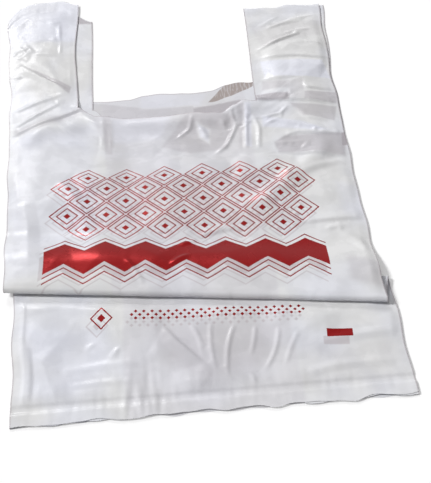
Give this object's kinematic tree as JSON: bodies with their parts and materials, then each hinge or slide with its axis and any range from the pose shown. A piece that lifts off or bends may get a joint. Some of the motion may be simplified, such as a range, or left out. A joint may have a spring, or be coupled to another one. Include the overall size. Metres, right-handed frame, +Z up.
{
  "type": "plastic carrier bag",
  "caption": "Thin white plastic carrier bag with two loop handles and folded side gussets, lying flat and lapped once across its middle, with a red geometric print on its front.",
  "frame": {"origin": "middle of the lying bag's outline, on the surface it rests on", "axes": "+Y along the bag towards its handles, +X across the bag, +Z up from the surface"},
  "size_m": [0.3108, 0.4776, 0.0158],
  "materials": {
    "film": "thin translucent white film, softly glossy, with a flat red print"
  },
  "bodies": {
    "root": {"carrier_bag": "film"}
  },
  "joints": []
}
